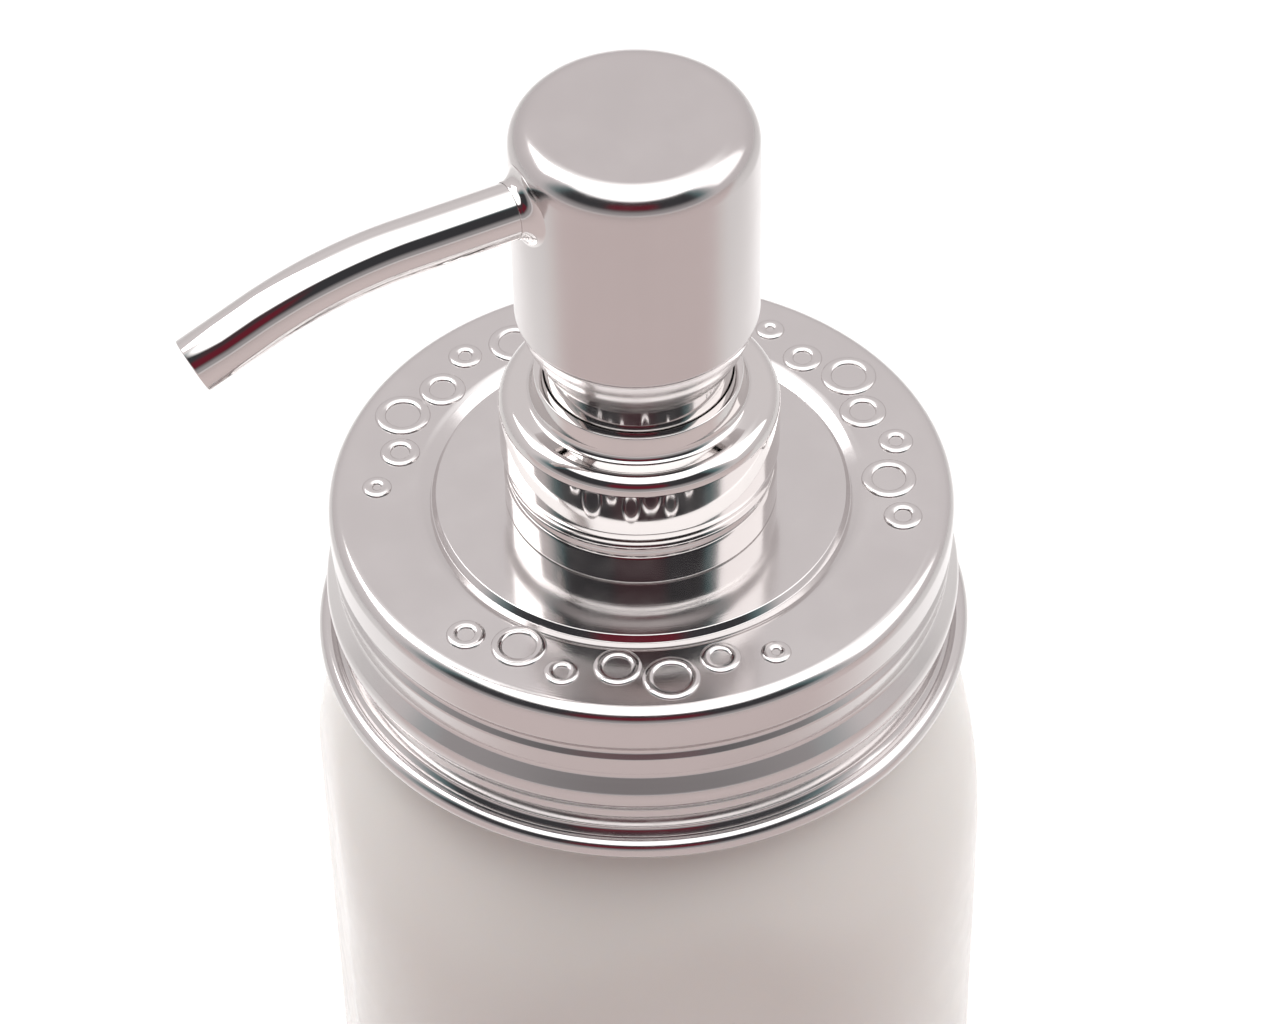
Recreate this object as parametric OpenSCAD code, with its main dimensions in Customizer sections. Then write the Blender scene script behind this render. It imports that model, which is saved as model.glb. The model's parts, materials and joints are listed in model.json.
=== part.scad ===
// Countertop soap pump: a steel screw lid on a glass jar, with a bent-spout push pump.
// Origin: centre of the jar's base. +Z up. The spout points along -Y.

/* [Jar] */
// Height of the glass jar
jar_h = 127; // [106:1:154]
// Width of the jar's body across its flats
jar_w = 76.4; // [74:0.2:92]
// Corner radius of the jar's body
jar_corner_r = 30; // [25:1:36]
// Thickness of the glass wall
jar_wall = 3.2; // [2:0.1:4]
// Thickness of the glass floor
jar_floor = 5; // [3:0.5:8]
// Radius of the jar's lower edge
jar_foot_r = 6; // [3:0.5:8]
// Height of the shoulder between the body and the mouth
shoulder_h = 31.5; // [24:0.5:38]
// Height of the straight mouth that the lid goes over
mouth_h = 20.4; // [17.2:0.2:24.6]
// Outside diameter of the mouth, without its thread
mouth_d = 65.8; // [54.8:0.2:68]
// Thickness of the glass at the mouth
mouth_wall = 3.4; // [2.5:0.1:4.2]
// Height of the thread above the mouth's wall
jar_thread_h = 1; // [0.6:0.1:1.4]
// Turn of the jar's flats from the spout's direction
jar_turn = -16; // [-45:1:45]

/* [Lid] */
// Thickness of the lid's sheet steel
lid_t = 0.8; // [0.6:0.1:1.2]
// Depth of the lid's skirt
lid_h = 21.4; // [18:0.2:26]
// Radius of the lid's top edge
lid_round = 1.9; // [1:0.1:3]
// Depth of the grip groove pressed into the skirt
lid_groove = 0.5; // [0.3:0.1:0.8]
// Radius of the rolled bead at the skirt's lower edge
lid_bead_r = 1.3; // [1:0.1:1.6]
// How far the rolled bead stands out past the skirt
lid_bead_out = 2.16; // [1.6:0.02:2.6]
// Radial gap between the jar's thread and the lid's groove
lid_gap = 0.3; // [0.2:0.05:0.6]
// Diameter of the ring line on the lid's top
lid_ring_d = 46.8; // [40:0.2:56]
// Thickness of the sealing ring inside the lid
gasket_t = 1.2; // [0.8:0.1:2]
// Height of the raised bubble pattern
relief_h = 0.3; // [0.2:0.05:0.5]

/* [Neck and collar] */
// Outside diameter of the pump's threaded neck, without its thread
neck_d = 24.6; // [20.6:0.1:29.6]
// Height of the neck above the lid
neck_h = 11.4; // [9.6:0.1:13.8]
// Height of the neck's thread
neck_thread_h = 0.9; // [0.6:0.1:1.2]
// Length of the neck below the lid
neck_tail = 8; // [6:0.5:11]
// Bore of the neck
neck_bore_d = 20; // [18.4:0.1:20.6]
// Wall of the neck nut at its flats
nut_wall = 2.55; // [1.8:0.05:3.4]
// Height of the neck nut
nut_h = 5; // [3:0.5:6]
// Thickness of the washers under the lid and under the pump
washer_t = 1; // [0.6:0.1:1.5]
// Wall of the plastic closure cap
cap_wall = 0.9; // [0.8:0.05:1.4]
// Thickness of the closure cap's roof
cap_roof = 1.3; // [1:0.1:2]
// Outside diameter of the polished sleeve that the head slides on
sleeve_d = 21; // [17.5:0.1:21.8]
// Thickness of the sleeve's wall
sleeve_t = 0.6; // [0.5:0.1:1]
// Length of the sleeve
sleeve_l = 20.6; // [18:0.2:24]
// Wall of the steel collar
collar_t = 1; // [0.9:0.05:1.2]
// Height of the collar's mouth above the closure cap
lip_h = 2.95; // [2.4:0.05:3.6]
// Width of the collar's flat lip
lip_w = 0.7; // [0.5:0.05:0.9]

/* [Head] */
// Diameter of the pump head
head_d = 26.9; // [25.2:0.1:32.4]
// Height of the head's straight body
head_h = 26.3; // [22:0.1:31.6]
// Radius of the head's top edge
head_round = 2.8; // [1.5:0.1:4]
// Height of the tapered skirt under the head
skirt_h = 6.3; // [5.2:0.1:7.6]
// How far the skirt bulges out from a straight taper
skirt_bulge = 0.25; // [0:0.05:0.3]
// Gap between the collar's lip and the skirt, when the head is locked down
head_gap = 3.15; // [1:0.05:4]
// Thickness of the head's sheet steel
head_t = 0.8; // [0.6:0.1:1.2]

/* [Spout] */
// Outside diameter of the spout
spout_d = 6.25; // [5.2:0.05:7.5]
// Wall of the steel spout
spout_wall = 0.5; // [0.4:0.05:0.7]
// Wall of the plastic tube inside the spout
liner_wall = 0.55; // [0.4:0.05:0.8]
// Depth of the spout's axis below the head's top
spout_drop = 7; // [6:0.1:9]
// Distance from the pump's axis to the start of the bend
spout_straight = 27; // [22:0.5:33]
// Radius of the bend
spout_bend_r = 45; // [36:1:54]
// Angle of the bend
spout_bend = 22; // [15:1:35]
// Length of the straight end after the bend
spout_tail = 8.1; // [5:0.1:12]
// Length of the flared ferrule outside the head
ferrule_l = 1.3; // [1:0.1:2]
// Radius of the ferrule's flare
flare_r = 1.5; // [1:0.1:2]

/* [Pump] */
// Bore of the pump's housing
bore_d = 14; // [11.6:0.1:14.6]
// Wall of the pump's housing
housing_wall = 1.6; // [1.2:0.1:1.8]
// Depth of the housing's bore below the lid's top
housing_l = 33; // [30:0.5:39]
// Diameter of the stem
stem_d = 9.6; // [9:0.1:10.4]
// Depth of the piston's top edge below the lid's top, when the head is locked down
piston_rest = 14; // [12:0.1:16]
// Length of the piston
piston_l = 6.5; // [5.5:0.1:7.5]
// Width of the lip under the piston
rod_lip_w = 1; // [0.7:0.05:1.1]
// Diameter of the two valve balls
ball_d = 4.8; // [4.4:0.1:5.2]
// Free rise of each valve ball
ball_lift = 1.7; // [1.2:0.1:2]
// Diameter of the spring's wire
wire_d = 0.9; // [0.7:0.05:1.1]
// Number of turns in the spring
spring_turns = 6; // [5:1:8]
// Outside diameter of the dip tube
dip_d = 7.4; // [6.2:0.1:7.8]
// Wall of the dip tube
dip_wall = 1; // [0.8:0.1:1.2]
// Gap between the dip tube's end and the jar's floor
dip_gap = 4; // [2:0.5:8]
// Radial running fit of the sliding parts
run_fit = 0.05; // [0.03:0.01:0.1]

/* [Hidden] */
$fn = 96;
eps = 0.02;
// Straight lengths run a little way into the bend, and are a hair thinner so that they stay inside it
lap = 0.3;
lap_step = 0.01;

// Levels, from the jar's base up
z_mouth = jar_h - mouth_h;
z_shoulder = z_mouth - shoulder_h;
z_gasket = jar_h;
z_under = z_gasket + gasket_t;
z_lid = z_under + lid_t;
z_neck = z_lid + neck_h;
z_housing = z_neck + washer_t;
flange_t = 1;
z_guide = z_housing + flange_t;
z_roof = z_guide + flange_t;
z_cap = z_roof + cap_roof;
z_lip = z_cap + lip_h;
z_head = z_lip + head_gap;
z_body = z_head + skirt_h;
z_top = z_body + head_h;
z_spout = z_top - spout_drop;
z_sleeve = z_roof + sleeve_l;

// Radii of the jar, the lid and what seals them
mouth_r = mouth_d / 2;
jar_thread_r = mouth_r + jar_thread_h;
jar_body_r = (jar_w / 2 - jar_corner_r) * sqrt(2) + jar_corner_r;
lid_in_r = jar_thread_r + lid_gap + lid_groove;
lid_r = lid_in_r + lid_t;
lid_bead_c = lid_r + lid_bead_out - lid_bead_r;
mouth_bore_r = mouth_r - mouth_wall;

// Radii of the neck, the closure cap and the collar
neck_r = neck_d / 2;
neck_thread_r = neck_r + neck_thread_h;
screw_gap = 0.2;
cap_in_r = neck_thread_r + screw_gap;
cap_r = cap_in_r + cap_wall;
nest_gap = 0.1;
collar_in_r = cap_r + nest_gap;
collar_r = collar_in_r + collar_t;
neck_tail_r = neck_r - 1;
nut_r = (neck_tail_r + nut_wall) / cos(30);
hole_gap = 0.1;
lid_hole_r = neck_tail_r + hole_gap;
ridge_h = 1.2;
ridge_pitch = 4;

// Head, skirt and spout
head_r = head_d / 2;
sleeve_r = sleeve_d / 2;
sleeve_gap = run_fit + 0.05;
skirt_in_r = sleeve_r + sleeve_gap;
skirt_edge_t = 0.25;
skirt_r = skirt_in_r + skirt_edge_t;
head_in_r = head_r - head_t;
stem_r = stem_d / 2;
spout_r = spout_d / 2;
liner_r = spout_r - spout_wall;
socket_x = 8;
ferrule_t = 0.12;

// Pump works
bore_r = bore_d / 2;
housing_r = bore_r + housing_wall;
coil_r = bore_r - 1.8;
coil_gap = 0.35;
rod_lip_r = coil_r - wire_d / 2 - coil_gap;
rod_r = rod_lip_r - rod_lip_w;
ball_r = ball_d / 2;
dip_r = dip_d / 2;
z_bore = z_lid - housing_l;
cage_t = 2;
z_cage = z_bore + cage_t;
z_piston = z_lid - piston_rest;
z_piston_end = z_piston - piston_l;
z_stem = z_piston + run_fit;
guide_l = 10;
z_guide_end = z_guide - guide_l;
seal_t = 1.2;
stem_gap = run_fit + 0.03;
stem_bore_r = rod_r - 0.4;
rod_lip_t = 1.8;
rod_shank_l = 12;

// A valve seat is a cone of this half-angle, from the small bore out to the ball's pocket
seat_bore_r = 1.7;
pocket_r = ball_r + 0.5;
seat_angle = 33.7;
seat_h = (pocket_r - seat_bore_r) / tan(seat_angle);
seat_gap = 0.02;
ball_up = (ball_r + seat_gap - seat_bore_r * cos(seat_angle)) / sin(seat_angle);
seat_to_stop = ball_up + ball_r + ball_lift + 0.09;
z_inlet_seat = z_bore - seat_to_stop;
z_outlet_seat = z_sleeve - 5;
z_snout = z_outlet_seat + seat_to_stop;
z_stem_top = z_snout + 5;
z_tail = z_inlet_seat - 12;
z_dip_top = z_inlet_seat - 2;
z_dip_end = jar_floor + dip_gap;

// Points of an arc about [r, z], for profiles that are turned
function arc(c, r, a0, a1, n = 10) =
    [for (i = [0:n]) let (a = a0 + (a1 - a0) * i / n) c + r * [cos(a), sin(a)]];

// The shoulder curve: rises from the body to the mouth with an upright start
function shoulder(r_body, r_mouth, n = 14) =
    [for (i = [0:n]) let (t = i / n)
        [r_mouth + (r_body - r_mouth) * sin(90 * (1 - t)), z_shoulder + shoulder_h * t]];

// The skirt's outline at a share t of its height
function skirt_at(t) =
    [skirt_r + (head_r - skirt_r) * t + skirt_bulge * sin(180 * t), z_head + skirt_h * t];

// A plain turned ring
module ring(r_out, r_in, z0, z1) {
    rotate_extrude() translate([r_in, z0]) square([r_out - r_in, z1 - z0]);
}

// A square with round corners, about the axis
module round_square(w, r) {
    side = w - 2 * r;
    union() {
        square([w, side], center = true);
        square([side, w], center = true);
        for (x = [-1, 1]) for (y = [-1, 1])
            translate([x * side / 2, y * side / 2]) circle(r);
    }
}

// A rod that runs out from the axis, bends down and ends straight
module bent_rod(r, x0, tail) {
    rotate([0, 0, -90]) union() {
        translate([x0, 0, z_spout]) rotate([0, 90, 0])
            cylinder(r = r - lap_step, h = spout_straight - x0 + lap);
        translate([spout_straight, 0, z_spout - spout_bend_r]) rotate([90, 0, 0])
            rotate([0, 0, 90 - spout_bend]) rotate_extrude(angle = spout_bend)
            translate([spout_bend_r, 0]) circle(r);
        translate([spout_straight + spout_bend_r * sin(spout_bend), 0,
                z_spout - spout_bend_r * (1 - cos(spout_bend))])
            rotate([0, 90 + spout_bend, 0]) translate([0, 0, -lap])
            cylinder(r = r - lap_step, h = tail + lap);
    }
}

// The pocket and cone that a valve ball sits in, from its seat up by h
module ball_pocket(z_seat, h) {
    rotate_extrude() polygon([[0, z_seat], [seat_bore_r, z_seat],
        [pocket_r, z_seat + seat_h], [pocket_r, z_seat + h], [0, z_seat + h]]);
}

// Outside of the jar: a turned shape cut to the round square
module jar_outside() {
    bead_r = mouth_r + 1.1;
    intersection() {
        rotate_extrude() polygon(concat(
            [[0, 0]],
            arc([jar_body_r - jar_foot_r, jar_foot_r], jar_foot_r, -90, 0),
            shoulder(jar_body_r, mouth_r),
            [[mouth_r, jar_h - 0.8], [mouth_r - 0.8, jar_h], [0, jar_h]]));
        rotate([0, 0, jar_turn]) linear_extrude(jar_h) round_square(jar_w, jar_corner_r);
    }
    ring(bead_r, mouth_r - 1, z_mouth + 1, z_mouth + 3.6);
    for (z = [jar_h - 5.2, jar_h - 10.6])
        ring(jar_thread_r, mouth_r - 1, z, z + 1.6);
}

// Inside of the jar, one wall in from the outside
module jar_inside() {
    in_r = jar_body_r - jar_wall;
    in_foot = jar_foot_r;
    intersection() {
        rotate_extrude() polygon(concat(
            [[0, jar_floor]],
            arc([in_r - in_foot, jar_floor + in_foot], in_foot, -90, 0),
            shoulder(in_r, mouth_bore_r),
            [[mouth_bore_r, jar_h + 1], [0, jar_h + 1]]));
        rotate([0, 0, jar_turn]) linear_extrude(jar_h + 2)
            round_square(jar_w - 2 * jar_wall, jar_corner_r - jar_wall);
    }
}

module jar() {
    groove_r = 27;
    color("whitesmoke") difference() {
        jar_outside();
        jar_inside();
        ring(groove_r, groove_r - 1.2, -1, 0.5);
    }
}

// Section of the lid's skirt: outside downwards, round the bead, then inside upwards
lid_line_r = lid_ring_d / 2;
lid_z_groove = z_lid - 6.7;
lid_z_rib = z_lid - 13;
lid_z_step = z_lid - 16.6;
lid_z_bead = z_lid - lid_h + lid_bead_r;
lid_step = 0.3;
lid_rib_r = 2.5;
lid_low_r = lid_r - lid_step;

function lid_section() = concat(
    [[lid_hole_r, z_lid], [lid_line_r - 0.5, z_lid], [lid_line_r - 0.25, z_lid - 0.35],
        [lid_line_r + 0.25, z_lid - 0.35], [lid_line_r + 0.5, z_lid]],
    arc([lid_r - lid_round, z_lid - lid_round], lid_round, 90, 0),
    [[lid_r, lid_z_groove + 1.1], [lid_r - lid_groove, lid_z_groove + 0.5],
        [lid_r - lid_groove, lid_z_groove - 0.5], [lid_r, lid_z_groove - 1.1]],
    arc([lid_r - 2, lid_z_rib], lid_rib_r, 36.87, -36.87),
    [[lid_r, lid_z_step + 0.3], [lid_low_r, lid_z_step], [lid_low_r, lid_z_bead + 1.5]],
    arc([lid_bead_c, lid_z_bead], lid_bead_r, 120, -90),
    [[lid_low_r - 0.3, lid_z_bead - 0.9], [lid_low_r - lid_t, lid_z_bead],
        [lid_low_r - lid_t, lid_z_step], [lid_in_r, lid_z_step + 0.5],
        [lid_in_r, lid_z_groove - 1.4], [lid_in_r - lid_groove, lid_z_groove - 0.7],
        [lid_in_r - lid_groove, lid_z_groove + 0.7], [lid_in_r, lid_z_groove + 1.4]],
    arc([lid_r - lid_round, z_lid - lid_round], lid_round - lid_t, 0, 90),
    [[lid_hole_r, z_under]]);

// Raised rings like soap bubbles, in three groups round the lid's top
band_w = lid_r - lid_round - lid_line_r;
bubbles = band_w * [0.215, 0.305, 0.195, 0.265, 0.315, 0.225, 0.165];
bubble_line = 0.7;
bubble_path_r = lid_line_r + 0.53 * band_w;
group_turn = -32;

module bubble_group() {
    for (i = [0:len(bubbles) - 1]) {
        shift = band_w * (i % 2 == 0 ? 0.108 : -0.069);
        rotate([0, 0, (i - 3) * 11.6]) translate([bubble_path_r + shift, 0, z_lid - 0.1])
            difference() {
                cylinder(r = bubbles[i], h = relief_h + 0.1);
                translate([0, 0, -1]) cylinder(r = bubbles[i] - bubble_line, h = relief_h + 2);
            }
    }
}

module lid() {
    color("silver") union() {
        rotate_extrude() polygon(lid_section());
        for (k = [0:2]) rotate([0, 0, group_turn + 120 * k]) bubble_group();
    }
}

module lid_gasket() {
    color("white") ring(mouth_r + 0.6, mouth_bore_r - 1, z_gasket, z_under);
}

module neck_bush() {
    color("gainsboro") union() {
        ring(neck_r, neck_bore_d / 2, z_lid, z_neck);
        ring(neck_thread_r, neck_bore_d / 2, z_lid, z_lid + 1.2);
        for (i = [0:1]) ring(neck_thread_r, neck_r - 1, z_lid + 2.4 + i * ridge_pitch,
            z_lid + 2.4 + i * ridge_pitch + ridge_h);
        ring(neck_tail_r, neck_bore_d / 2, z_under - neck_tail, z_lid + eps);
    }
}

module neck_gasket() {
    color("white") ring(nut_r - 1.2, neck_tail_r + hole_gap, z_under - washer_t, z_under);
}

module neck_nut() {
    z0 = z_under - washer_t - nut_h;
    color("gainsboro") difference() {
        translate([0, 0, z0]) cylinder(r = nut_r, h = nut_h, $fn = 6);
        translate([0, 0, z0 - 1]) cylinder(r = neck_tail_r, h = nut_h + 2);
    }
}

// Outline of the collar: foot, bead, waist, widest edge, dome, cone and flat lip
wide_out = 0.3;
z_wide = z_lid + 9.2;
dome_r = 1.6;
dome_c = [collar_r - 0.05 - dome_r, z_cap - dome_r];
lip_in_r = sleeve_r + nest_gap;
lip_out_r = lip_in_r + lip_w;

function collar_section() = concat(
    [[collar_in_r, z_lid], [collar_r, z_lid], [collar_r, z_lid + 4.2],
        [collar_r - 0.15, z_lid + 4.7], [collar_r - 0.45, z_lid + 5.4],
        [collar_r - 0.5, z_lid + 5.9], [collar_r - 0.4, z_lid + 6.3]],
    [[collar_r - 0.05, z_lid + 7.4], [collar_r + 0.2, z_wide - 0.8],
        [collar_r + wide_out, z_wide], [collar_r + wide_out - 0.05, z_wide + 0.3],
        [collar_r - 0.2, dome_c[1] - 1.1], [collar_r - 0.35, dome_c[1] - 0.9],
        [collar_r - 0.15, dome_c[1] - 0.7], [collar_r - 0.05, dome_c[1] - 0.5]],
    arc(dome_c, dome_r, 0, 90),
    [[lip_out_r + 1.5, z_cap + 0.15], [lip_out_r + 1.2, z_cap + 0.35],
        [lip_out_r + 0.95, z_cap + 0.8], [lip_out_r + 0.05, z_lip - 0.4],
        [lip_out_r - 0.1, z_lip - 0.1], [lip_out_r - 0.3, z_lip], [lip_in_r, z_lip],
        [lip_in_r, z_cap - 0.6], [dome_c[0], z_cap - 0.6],
        [collar_in_r - 0.45, z_cap - 1.1], [collar_in_r, z_cap - 2]]);

module collar_shell() {
    color("silver") rotate_extrude() polygon(collar_section());
}

module closure_cap() {
    color("gray") union() {
        rotate_extrude() polygon([[cap_in_r, z_lid + 0.3], [cap_r, z_lid + 0.3],
            [cap_r, z_cap - 2.1], [cap_r - 0.5, z_cap - 1.2], [dome_c[0] - 0.05, z_cap - 0.65],
            [sleeve_r, z_cap - 0.65], [sleeve_r, z_roof], [cap_in_r, z_roof]]);
        for (i = [0:1]) ring(cap_in_r + eps, neck_r + 0.3, z_lid + 4.4 + i * ridge_pitch,
            z_lid + 4.4 + i * ridge_pitch + ridge_h);
    }
}

// The sleeve stands on the guide's flange, held by the closure cap's roof
module guide_sleeve() {
    color("silver") rotate_extrude() polygon([[sleeve_r - sleeve_t, z_roof], [sleeve_r, z_roof],
        [sleeve_r, z_sleeve - 0.4], [sleeve_r - 0.2, z_sleeve], [sleeve_r - sleeve_t, z_sleeve]]);
}

module housing_gasket() {
    color("white") ring(neck_r, housing_r + 0.3, z_neck, z_housing);
}

// The pump's cylinder: flange, bore, inlet valve seat, and the socket for the dip tube
module pump_housing() {
    flange_r = cap_in_r - 0.4;
    tail_r = dip_r + 1.3;
    vent_r = 0.8;
    color("whitesmoke") difference() {
        rotate_extrude() polygon([[0, z_tail], [tail_r, z_tail], [tail_r, z_inlet_seat],
            [housing_r, z_bore - 1], [housing_r, z_housing], [flange_r, z_housing],
            [flange_r, z_guide], [0, z_guide]]);
        translate([0, 0, z_bore]) cylinder(r = bore_r, h = z_guide - z_bore + 1);
        ball_pocket(z_inlet_seat, z_bore - z_inlet_seat + 1);
        translate([0, 0, z_tail]) cylinder(r = seat_bore_r, h = z_inlet_seat - z_tail + eps);
        translate([0, 0, z_tail - 1]) cylinder(r = dip_r, h = z_dip_top - z_tail + 1);
        translate([0, 0, z_lid - 1.5]) rotate([90, 0, 0]) cylinder(r = vent_r, h = housing_r + 1);
    }
}

// The guide plug that closes the housing and centres the stem
module stem_guide() {
    color("whitesmoke") difference() {
        union() {
            ring(cap_in_r - 0.4, stem_r, z_guide, z_roof);
            ring(bore_r, stem_r, z_guide_end, z_guide + eps);
        }
        translate([0, 0, z_guide_end - 1]) cylinder(r = stem_r + stem_gap, h = guide_l + 4);
    }
}

module stem_seal() {
    color("dimgray") ring(bore_r, stem_r + stem_gap, z_guide_end - seal_t, z_guide_end);
}

// The hollow stem: rod socket below, outlet valve seat and ball pocket above
module stem() {
    color("silver") difference() {
        translate([0, 0, z_stem]) cylinder(r = stem_r, h = z_stem_top - z_stem);
        translate([0, 0, z_stem - 1]) cylinder(r = stem_bore_r, h = z_outlet_seat - 2 - z_stem + 1);
        translate([0, 0, z_outlet_seat - 3]) cylinder(r = seat_bore_r, h = 3 + eps);
        ball_pocket(z_outlet_seat, z_stem_top - z_outlet_seat + 1);
    }
}

// The rod: pushed up into the stem, with a lip that carries the piston
module piston_rod() {
    z_lip_top = z_piston_end - run_fit;
    flow_r = stem_bore_r - 1.4;
    color("whitesmoke") difference() {
        union() {
            translate([0, 0, z_lip_top]) cylinder(r = rod_r, h = z_stem - z_lip_top);
            translate([0, 0, z_lip_top - rod_lip_t]) cylinder(r = rod_lip_r, h = rod_lip_t + eps);
            translate([0, 0, z_stem - eps]) cylinder(r = stem_bore_r, h = rod_shank_l);
        }
        translate([0, 0, z_lip_top - rod_lip_t - 1])
            cylinder(r = flow_r, h = rod_shank_l + piston_l + rod_lip_t + 4);
    }
}

module piston() {
    waist_r = bore_r - 0.7;
    lip_r = bore_r - run_fit;
    color("ghostwhite") rotate_extrude() polygon([[rod_r + run_fit, z_piston_end],
        [lip_r, z_piston_end], [lip_r, z_piston_end + 1.2], [waist_r, z_piston_end + 2],
        [waist_r, z_piston - 2], [lip_r, z_piston - 1.2], [lip_r, z_piston],
        [rod_r + run_fit, z_piston]]);
}

// The return spring: one swept coil between the cage and the piston
coil_sides = 8;
coil_steps = 20;
coil_n = spring_turns * coil_steps;
spring_z0 = z_cage + wire_d / 2 + 0.05;
spring_z1 = z_piston_end - wire_d / 2 - 0.05;

function coil_ring(i) = let (a = 360 * i / coil_steps,
        z = spring_z0 + (spring_z1 - spring_z0) * i / coil_n)
    [for (j = [0:coil_sides - 1]) let (b = 360 * j / coil_sides, r = coil_r + wire_d / 2 * cos(b))
        [r * cos(a), r * sin(a), z + wire_d / 2 * sin(b)]];

module return_spring() {
    points = [for (i = [0:coil_n]) each coil_ring(i)];
    last = coil_n * coil_sides;
    sides = [for (i = [0:coil_n - 1]) for (j = [0:coil_sides - 1]) let (k = (j + 1) % coil_sides)
        [i * coil_sides + j, i * coil_sides + k, (i + 1) * coil_sides + k, (i + 1) * coil_sides + j]];
    ends = [[for (j = [coil_sides - 1:-1:0]) j], [for (j = [0:coil_sides - 1]) last + j]];
    color("silver") polyhedron(points, concat(sides, ends));
}

// The cage over the inlet ball: it stops the ball and seats the spring
module ball_cage() {
    port_r = 0.8;
    color("whitesmoke") difference() {
        translate([0, 0, z_bore]) cylinder(r = bore_r, h = cage_t);
        for (a = [0:90:270]) rotate([0, 0, a]) translate([pocket_r - port_r - 0.2, 0, z_bore - 1])
            cylinder(r = port_r, h = cage_t + 2);
    }
}

module inlet_ball() {
    color("gainsboro") translate([0, 0, z_inlet_seat + ball_up]) sphere(r = ball_r);
}

module outlet_ball() {
    color("gainsboro") translate([0, 0, z_outlet_seat + ball_up]) sphere(r = ball_r);
}

// The dip tube, cut at a slant so that it can't seal against the floor
module dip_tube() {
    color("white") difference() {
        ring(dip_r, dip_r - dip_wall, z_dip_end, z_dip_top);
        translate([0, 0, z_dip_end]) rotate([40, 0, 0]) translate([-10, -10, -20 - dip_r * 0.6])
            cube([20, 20, 20]);
    }
}

// The head's steel cup, with a hole for the spout's ferrule
module head_shell() {
    color("silver") difference() {
        rotate_extrude() polygon(concat([[head_in_r, z_body], [head_r, z_body]],
            arc([head_r - head_round, z_top - head_round], head_round, 0, 90),
            [[0, z_top], [0, z_top - head_t]],
            arc([head_r - head_round, z_top - head_round], head_round - head_t, 90, 0)));
        ferrule_solid();
    }
}

// The tapered steel skirt, pressed up into the head's cup
module head_skirt() {
    n = 10;
    spigot = 2;
    outside = [for (i = [0:n]) skirt_at(i / n)];
    inside = [for (i = [n:-1:3]) skirt_at(i / n) - [head_t * (1 + i / n), 0]];
    color("silver") rotate_extrude() polygon(concat([[skirt_in_r, z_head]], outside,
        [[head_in_r, z_body], [head_in_r, z_body + spigot], [head_in_r - head_t, z_body + spigot]],
        inside, [[skirt_in_r, z_head + 1]]));
}

// The plastic core: a spool that holds the stem, the outlet snout and the spout
module head_core() {
    post_r = stem_r + 1.6;
    foot_r = head_in_r - nest_gap;
    z_foot = z_sleeve + 0.5;
    z_roof_in = z_top - head_t;
    flow_r = 1.5;
    color("whitesmoke") difference() {
        union() {
            translate([0, 0, z_foot]) cylinder(r = post_r, h = z_roof_in - z_foot);
            translate([0, 0, z_foot]) cylinder(r = foot_r, h = 2.4);
            translate([0, 0, z_roof_in - 3.2]) cylinder(r = head_in_r - head_round + head_t, h = 3.2);
            translate([0, 0, z_spout]) rotate([90, 0, 0])
                cylinder(r = spout_r + 1.6, h = head_in_r - 1.5);
        }
        ring(stem_r, pocket_r, z_foot - 1, z_stem_top);
        translate([0, 0, z_foot - 1]) cylinder(r = pocket_r + eps, h = z_snout - z_foot + 1);
        translate([0, 0, z_snout - 1]) cylinder(r = flow_r, h = z_spout - z_snout + 1);
        translate([0, 0, z_spout]) rotate([90, 0, 0]) cylinder(r = flow_r, h = socket_x + 1);
        translate([0, -socket_x, z_spout]) rotate([90, 0, 0]) cylinder(r = spout_r, h = head_r);
    }
}

module spout_tube() {
    color("silver") difference() {
        bent_rod(spout_r, socket_x, spout_tail);
        bent_rod(liner_r, socket_x - 1, spout_tail + 1);
    }
}

// The plastic tube inside the spout, which ends a little short of its tip
module spout_liner() {
    color("white") difference() {
        bent_rod(liner_r, socket_x, spout_tail - 1.5);
        bent_rod(liner_r - liner_wall, socket_x - 1, spout_tail);
    }
}

// The flared ring that carries the spout out of the head, before it is bored
module ferrule_solid() {
    x_end = head_r + ferrule_l;
    x_flare = x_end - 0.3 - flare_r;
    translate([0, 0, z_spout]) rotate([90, 0, 0]) rotate_extrude() polygon(concat(
        [[0, x_flare - 1.2], [spout_r + ferrule_t + flare_r, x_flare - 1.2]],
        arc([spout_r + ferrule_t + flare_r, x_flare + flare_r], flare_r, 270, 180),
        [[spout_r + ferrule_t, x_end], [0, x_end]]));
}

module spout_ferrule() {
    color("silver") difference() {
        ferrule_solid();
        translate([0, 0, z_spout]) rotate([90, 0, 0])
            cylinder(r = spout_r - lap_step, h = 2 * head_r);
    }
}

jar();
lid();
lid_gasket();
neck_bush();
neck_gasket();
neck_nut();
collar_shell();
guide_sleeve();
closure_cap();
housing_gasket();
pump_housing();
stem_guide();
stem_seal();
stem();
piston_rod();
piston();
return_spring();
ball_cage();
inlet_ball();
outlet_ball();
dip_tube();
head_shell();
head_skirt();
head_core();
spout_tube();
spout_ferrule();
spout_liner();
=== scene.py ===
# %% [markdown]
# # A countertop soap pump
# The object is a milk-white glass jar with a pressed steel screw lid. A stepped steel collar stands on the lid,
# and a pump head with a bent spout slides on a polished sleeve above it. Every exact size comes from the CAD
# frame. This script makes the looks: smooth turned shells, the bent tube, the wire spring, and the finishes.
# A turned shape could be made from a cylinder with loops pushed about by hand. Here each one is an outline
# that is spun round the axis, because that is how such parts are spun and pressed from sheet, and one short
# outline says everything about the shape.

# %% Load the frame
import json
import math

import bmesh
import bpy
from mathutils import Matrix, Quaternion, Vector


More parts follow.
